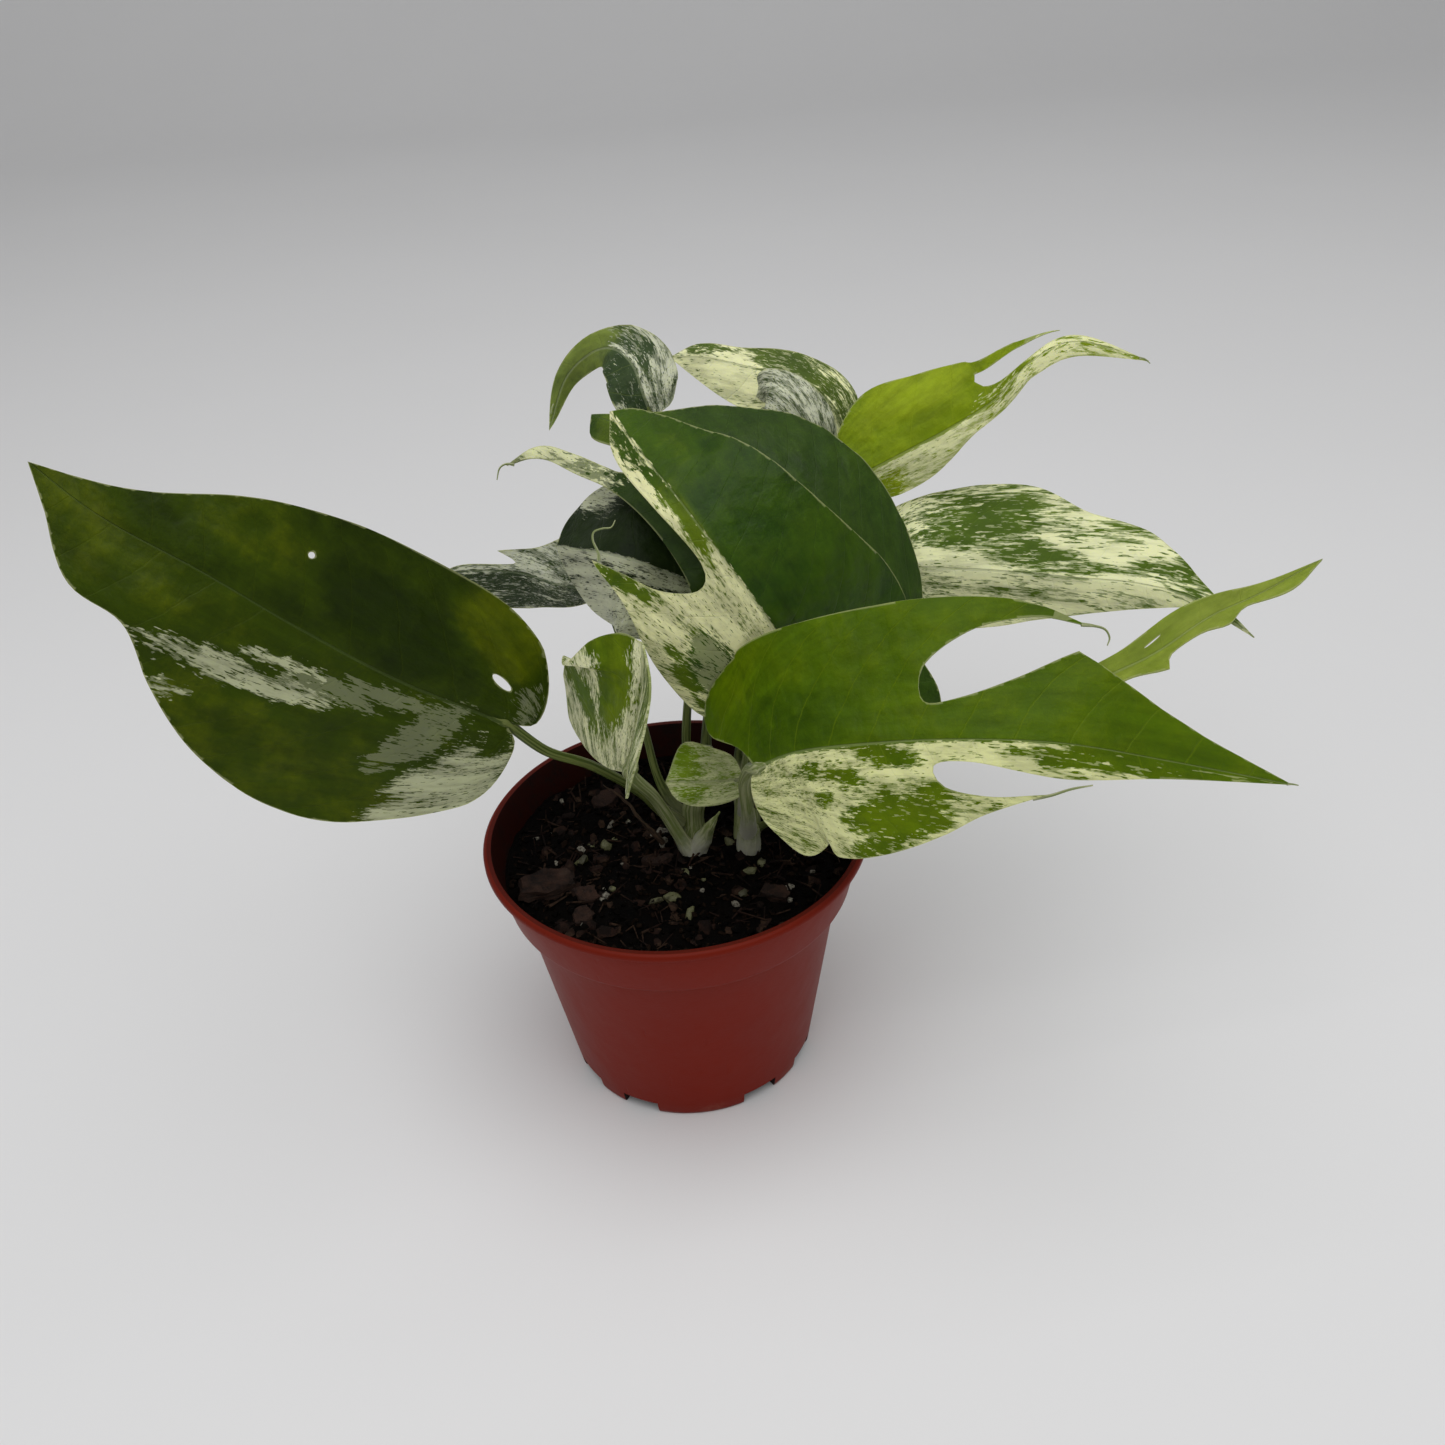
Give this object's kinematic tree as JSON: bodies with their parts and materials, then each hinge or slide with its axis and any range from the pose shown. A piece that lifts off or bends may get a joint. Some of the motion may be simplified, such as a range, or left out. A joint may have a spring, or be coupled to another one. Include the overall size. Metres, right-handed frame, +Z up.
{
  "type": "potted pothos plant",
  "caption": "Young variegated pothos with broad, split and curled leaves in a terracotta-coloured plastic nursery pot.",
  "frame": {"origin": "middle of the pot's flat underside", "axes": "+Z up out of the pot, +X towards the long split front leaf, -Y towards the front"},
  "size_m": [0.3133, 0.1517, 0.2131],
  "materials": {
    "pot_plastic": "moulded, softly glossy",
    "potting_mix": "loose, damp and rough",
    "bark": "rough flakes",
    "leaf_blade": "waxy, variegated green and cream",
    "stalk": "waxy",
    "dried_sheath": "dry and papery"
  },
  "bodies": {
    "root": {"bark_chip_1": "bark", "bark_chip_2": "bark", "bark_chip_3": "bark", "bark_chip_4": "bark", "bark_chip_5": "bark", "bark_chip_6": "bark", "bark_chip_7": "bark", "leaf_front_split": "leaf_blade", "leaf_front_young": "leaf_blade", "leaf_hidden_small": "leaf_blade", "leaf_left_broad": "leaf_blade", "leaf_left_young": "leaf_blade", "leaf_middle_rear": "leaf_blade", "leaf_middle_split": "leaf_blade", "leaf_rear_dark": "leaf_blade", "leaf_rear_streaked": "leaf_blade", "leaf_right_marbled": "leaf_blade", "leaf_right_narrow": "leaf_blade", "leaf_top_bowed": "leaf_blade", "leaf_top_cream": "leaf_blade", "leaf_top_lime": "leaf_blade", "leaf_top_speckled": "leaf_blade", "petiole_front_split": "stalk", "petiole_front_young": "stalk", "petiole_hidden_small": "stalk", "petiole_left_broad": "stalk", "petiole_left_young": "stalk", "petiole_middle_rear": "stalk", "petiole_middle_split": "stalk", "petiole_rear_dark": "stalk", "petiole_rear_streaked": "stalk", "petiole_right_marbled": "stalk", "petiole_right_narrow": "stalk", "petiole_top_bowed": "stalk", "petiole_top_cream": "stalk", "petiole_top_lime": "stalk", "petiole_top_speckled": "stalk", "pot": "pot_plastic", "potting_mix": "potting_mix", "sheath_dried": "dried_sheath", "sheath_left": "stalk", "sheath_strand": "dried_sheath", "stem_left": "stalk", "stem_right": "stalk"}
  },
  "joints": []
}
